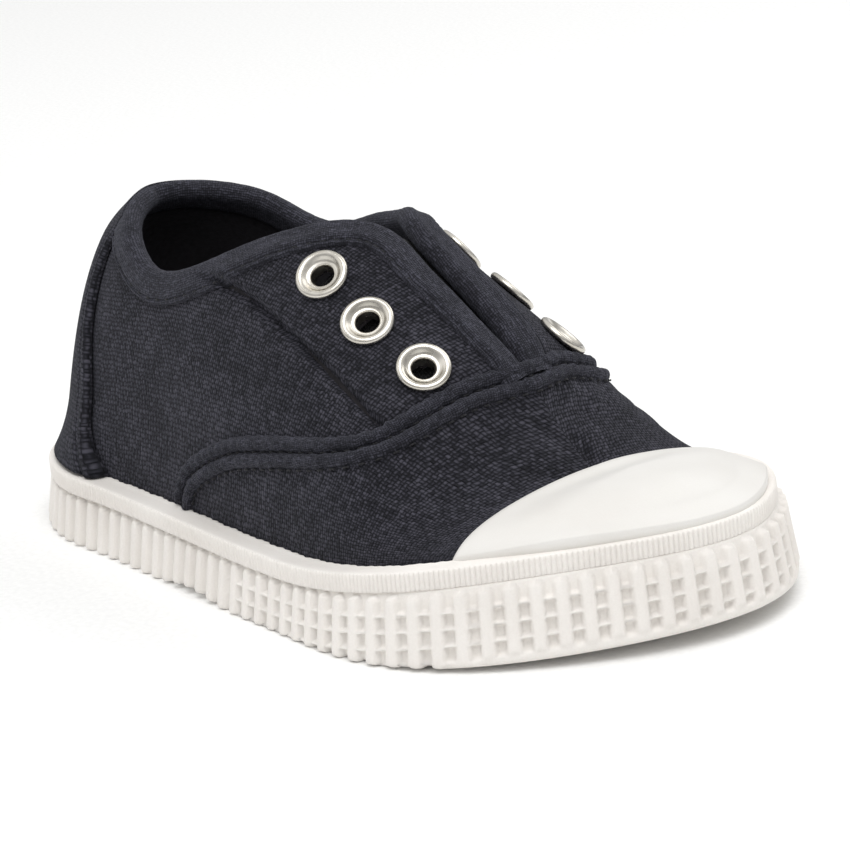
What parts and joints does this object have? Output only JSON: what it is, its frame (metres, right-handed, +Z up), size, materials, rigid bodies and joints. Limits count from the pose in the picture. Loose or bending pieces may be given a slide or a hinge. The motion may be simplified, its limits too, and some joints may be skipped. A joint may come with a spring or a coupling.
{
  "type": "canvas sneaker",
  "caption": "Child's slip-on canvas sneaker with a ribbed rubber sole, rubber toe cap, slit throat over an elastic gusset and metal eyelets.",
  "frame": {"origin": "on the floor under the middle of the shoe's box", "axes": "+X from heel to toe, +Y towards the medial side, +Z up from the floor"},
  "size_m": [0.175, 0.086, 0.0636],
  "materials": {
    "sole_rubber": "matt moulded",
    "cap_rubber": "smooth matt",
    "canvas": "plain weave cotton, navy",
    "elastic": "knitted elastic, navy",
    "lining": "brushed cotton, navy",
    "nickel": "polished nickel plate"
  },
  "bodies": {
    "root": {"outsole": "sole_rubber", "foxing_strip": "sole_rubber", "toe_cap": "cap_rubber", "upper": "canvas", "gusset": "elastic", "insole": "lining", "eyelet_lateral_1": "nickel", "eyelet_lateral_2": "nickel", "eyelet_lateral_3": "nickel", "eyelet_medial_1": "nickel", "eyelet_medial_2": "nickel", "eyelet_medial_3": "nickel"}
  },
  "joints": []
}
